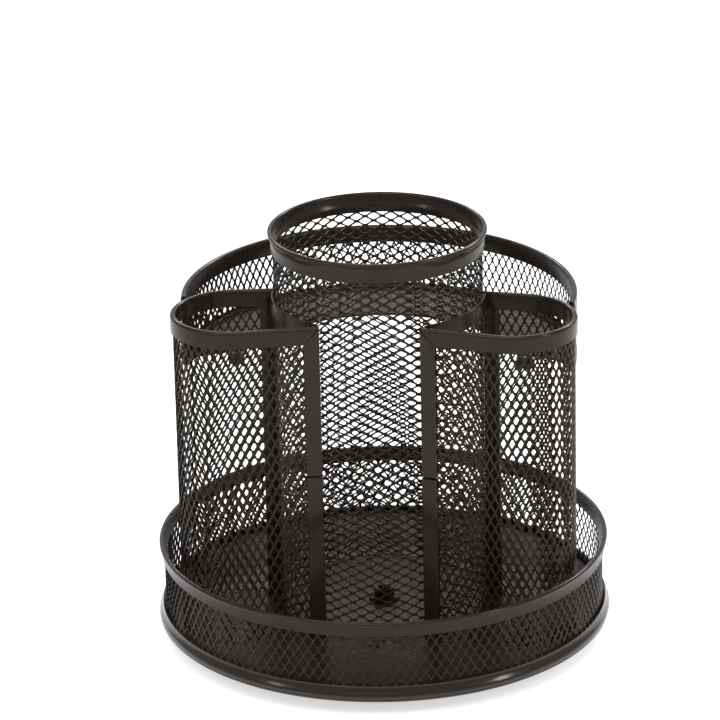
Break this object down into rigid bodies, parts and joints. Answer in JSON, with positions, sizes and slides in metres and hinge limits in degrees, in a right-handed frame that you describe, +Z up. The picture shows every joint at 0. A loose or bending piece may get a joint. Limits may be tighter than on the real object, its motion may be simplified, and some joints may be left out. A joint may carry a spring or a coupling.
{
  "type": "rotating desk organizer",
  "caption": "Round black mesh desk organizer that turns on a ball bearing: tall centre cup, two leaf shaped front pockets, a raised rear shelf and an open tray.",
  "frame": {"origin": "on the table under the pads, on the turning axis", "axes": "+Z up along the turning axis; -Y is the front, where the tray is open between the two pockets; +X is the right pocket's side"},
  "size_m": [0.1598, 0.1598, 0.1485],
  "materials": {
    "black_paint": "semi-gloss black powder coat on folded steel bands",
    "mesh_paint": "satin black powder coat on expanded steel mesh",
    "floor_paint": "satin black powder coat on steel sheet",
    "zinc_steel": "bright zinc plate",
    "nylon": "natural nylon",
    "rubber": "matt black rubber"
  },
  "bodies": {
    "base": {"base_plate": "black_paint", "rubber_pad_1": "rubber", "rubber_pad_2": "rubber", "rubber_pad_3": "rubber", "rubber_pad_4": "rubber", "lower_bearing_race": "zinc_steel", "base_rivet_1": "zinc_steel", "base_rivet_2": "zinc_steel", "base_rivet_3": "zinc_steel", "pivot_bolt": "black_paint", "pivot_washer": "black_paint", "pivot_nut": "black_paint"},
    "turntable": {"tray_floor": "floor_paint", "tray_bottom_ring": "black_paint", "tray_wall_mesh": "mesh_paint", "tray_rim_band": "black_paint", "cup_wall_mesh": "mesh_paint", "cup_rim_band": "black_paint", "right_pocket_mesh": "mesh_paint", "right_pocket_rim": "black_paint", "right_pocket_cup_band": "black_paint", "right_pocket_front_post_lower": "black_paint", "right_pocket_front_post_upper": "black_paint", "right_pocket_side_post": "black_paint", "left_pocket_mesh": "mesh_paint", "left_pocket_rim": "black_paint", "left_pocket_cup_band": "black_paint", "left_pocket_front_post_lower": "black_paint", "left_pocket_front_post_upper": "black_paint", "left_pocket_side_post": "black_paint", "rear_shelf_floor": "floor_paint", "rear_shelf_mesh": "mesh_paint", "rear_shelf_rim": "black_paint", "rear_shelf_right_post": "black_paint", "rear_shelf_left_post": "black_paint", "upper_bearing_race": "zinc_steel", "tray_rivet_1": "black_paint", "tray_rivet_2": "black_paint", "tray_rivet_3": "black_paint"},
    "ball_cage": {"bearing_cage": "nylon", "bearing_ball_1": "zinc_steel", "bearing_ball_2": "zinc_steel", "bearing_ball_3": "zinc_steel", "bearing_ball_4": "zinc_steel", "bearing_ball_5": "zinc_steel", "bearing_ball_6": "zinc_steel", "bearing_ball_7": "zinc_steel", "bearing_ball_8": "zinc_steel", "bearing_ball_9": "zinc_steel", "bearing_ball_10": "zinc_steel", "bearing_ball_11": "zinc_steel", "bearing_ball_12": "zinc_steel"}
  },
  "joints": [
    {"name": "turntable_spin", "type": "hinge", "parent": "base", "child": "turntable", "pos_m": [0, 0, 0.0056], "axis": [0, 0, 1], "continuous": true},
    {"name": "ball_cage_orbit", "type": "hinge", "parent": "base", "child": "ball_cage", "pos_m": [0, 0, 0.0056], "axis": [0, 0, 1], "continuous": true}
  ],
  "couplings": [
    {"joint": "ball_cage_orbit", "follows": "turntable_spin", "ratio": 0.5}
  ]
}
